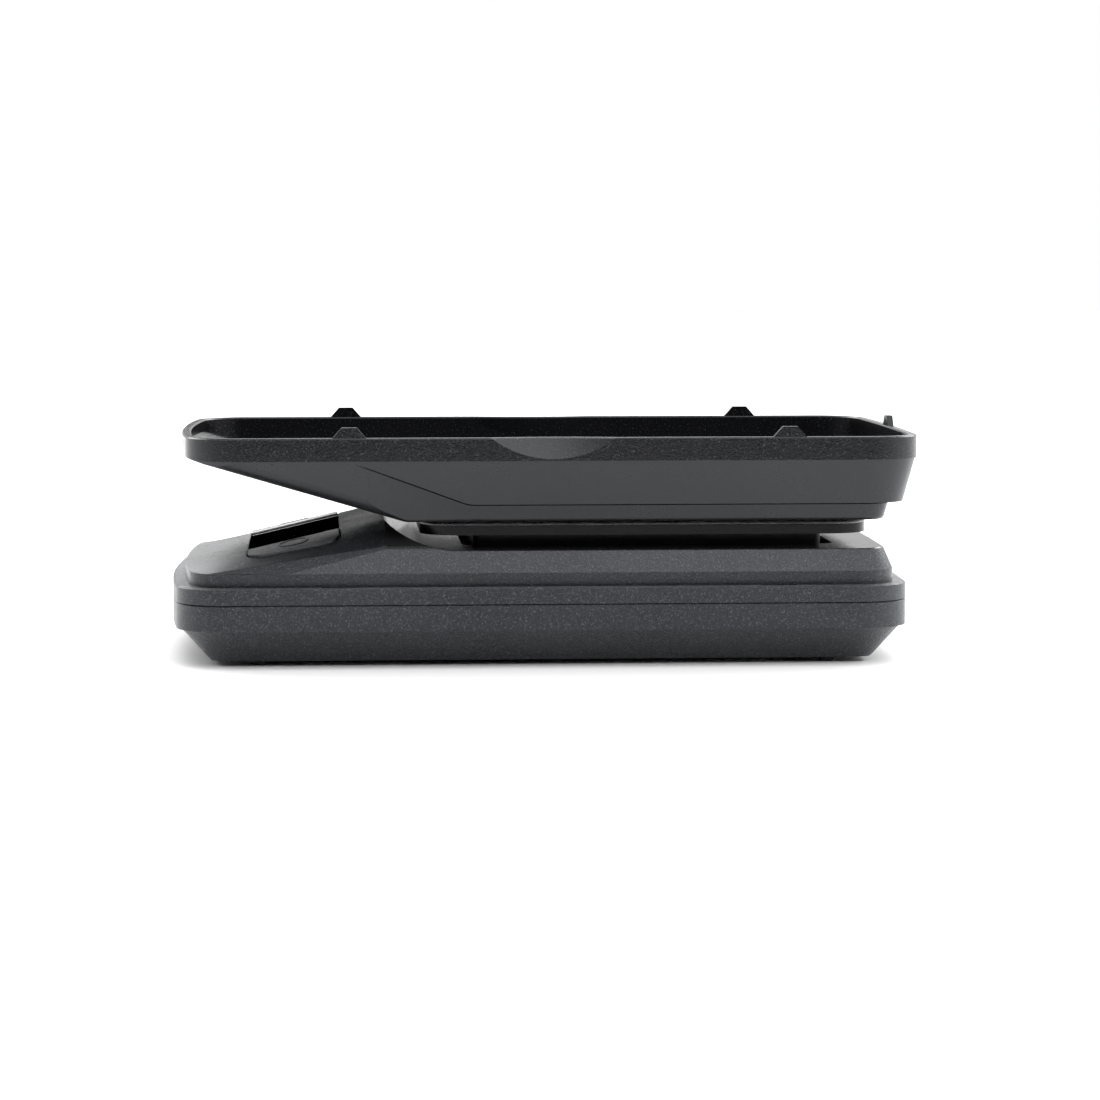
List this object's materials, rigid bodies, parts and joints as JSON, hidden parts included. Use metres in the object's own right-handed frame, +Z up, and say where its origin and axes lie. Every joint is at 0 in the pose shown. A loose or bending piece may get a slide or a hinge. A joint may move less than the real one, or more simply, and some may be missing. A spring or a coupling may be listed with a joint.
{
  "type": "digital gram scale",
  "caption": "Pocket gram scale: sloping display panel with two keys, steel weighing pan on a load cell, and a lift-off cover turned over as a weighing tray.",
  "frame": {"origin": "on the table under the middle of the whole object, at the bottom of its bounding box", "axes": "+X along the case from the display end towards the weighing end, +Z up, +Y across the case"},
  "size_m": [0.1318, 0.076, 0.0417],
  "materials": {
    "case_plastic": "fine spark-eroded texture",
    "cover_plastic": "textured rim band, satin walls",
    "carrier_plastic": "plain moulded",
    "stainless": "fine brushed",
    "key_plastic": "satin silver-grey paint",
    "lens_plastic": "polished dark window",
    "lcd_glass": "polarised glass",
    "backlight_plastic": "milky light guide",
    "elastomer": "layered elastomer",
    "board_laminate": "solder mask",
    "epoxy": "cured epoxy",
    "component_ceramic": "fired",
    "crystal_metal": "drawn can",
    "switch_plastic": "plain moulded",
    "plunger_plastic": "plain moulded",
    "cell_aluminium": "milled",
    "gauge_foil": "etched foil",
    "sealant": "cured silicone",
    "screw_steel": "nickel plated",
    "foam_tape": "closed-cell foam",
    "battery_jacket": "plain printed jacket",
    "contact_steel": "nickel plated spring steel",
    "lead_insulation": "wire insulation",
    "foot_rubber": "moulded"
  },
  "bodies": {
    "case": {"bottom_shell": "case_plastic", "top_shell": "case_plastic", "lcd_lens": "lens_plastic", "lcd_panel": "lcd_glass", "lcd_backlight": "backlight_plastic", "zebra_strip": "elastomer", "main_board": "board_laminate", "chip_glob": "epoxy", "board_components": "component_ceramic", "crystal_can": "crystal_metal", "board_screws": "screw_steel", "tact_switch_power": "switch_plastic", "tact_switch_tare": "switch_plastic", "load_cell": "cell_aluminium", "strain_gauges": "gauge_foil", "gauge_sealant": "sealant", "cell_fixed_screws": "screw_steel", "battery_cell_1": "battery_jacket", "battery_cell_2": "battery_jacket", "battery_link_contact": "contact_steel", "battery_positive_contact": "contact_steel", "battery_negative_contact": "contact_steel", "battery_leads": "lead_insulation", "sensor_lead": "lead_insulation", "case_screws": "screw_steel", "foot_1": "foot_rubber", "foot_2": "foot_rubber", "foot_3": "foot_rubber", "foot_4": "foot_rubber"},
    "platform": {"weighing_pan": "stainless", "pan_tape": "foam_tape", "pan_carrier": "carrier_plastic", "cell_free_screws": "screw_steel"},
    "cover": {"protective_cover": "cover_plastic"},
    "power_button": {"power_key": "key_plastic", "switch_plunger_power": "plunger_plastic"},
    "tare_button": {"tare_key": "key_plastic", "switch_plunger_tare": "plunger_plastic"},
    "door": {"battery_door": "case_plastic"}
  },
  "joints": [
    {"name": "platform_deflection", "type": "slide", "parent": "case", "child": "platform", "axis": [0, 0, 1], "range_m": [-0.0003, 0], "stiffness_N_per_m": 9000, "deforming": ["load_cell"]},
    {"name": "cover_lift", "type": "slide", "parent": "platform", "child": "cover", "axis": [0, 0, 1], "range_m": [0, 0.06]},
    {"name": "power_key_press", "type": "slide", "parent": "case", "child": "power_button", "axis": [0.2267, 0, -0.974], "range_m": [0, 0.00035], "stiffness_N_per_m": 900},
    {"name": "tare_key_press", "type": "slide", "parent": "case", "child": "tare_button", "axis": [0.2267, 0, -0.974], "range_m": [0, 0.00035], "stiffness_N_per_m": 900},
    {"name": "battery_door_slide", "type": "slide", "parent": "case", "child": "door", "axis": [-1, 0, 0], "range_m": [0, 0.026]}
  ]
}
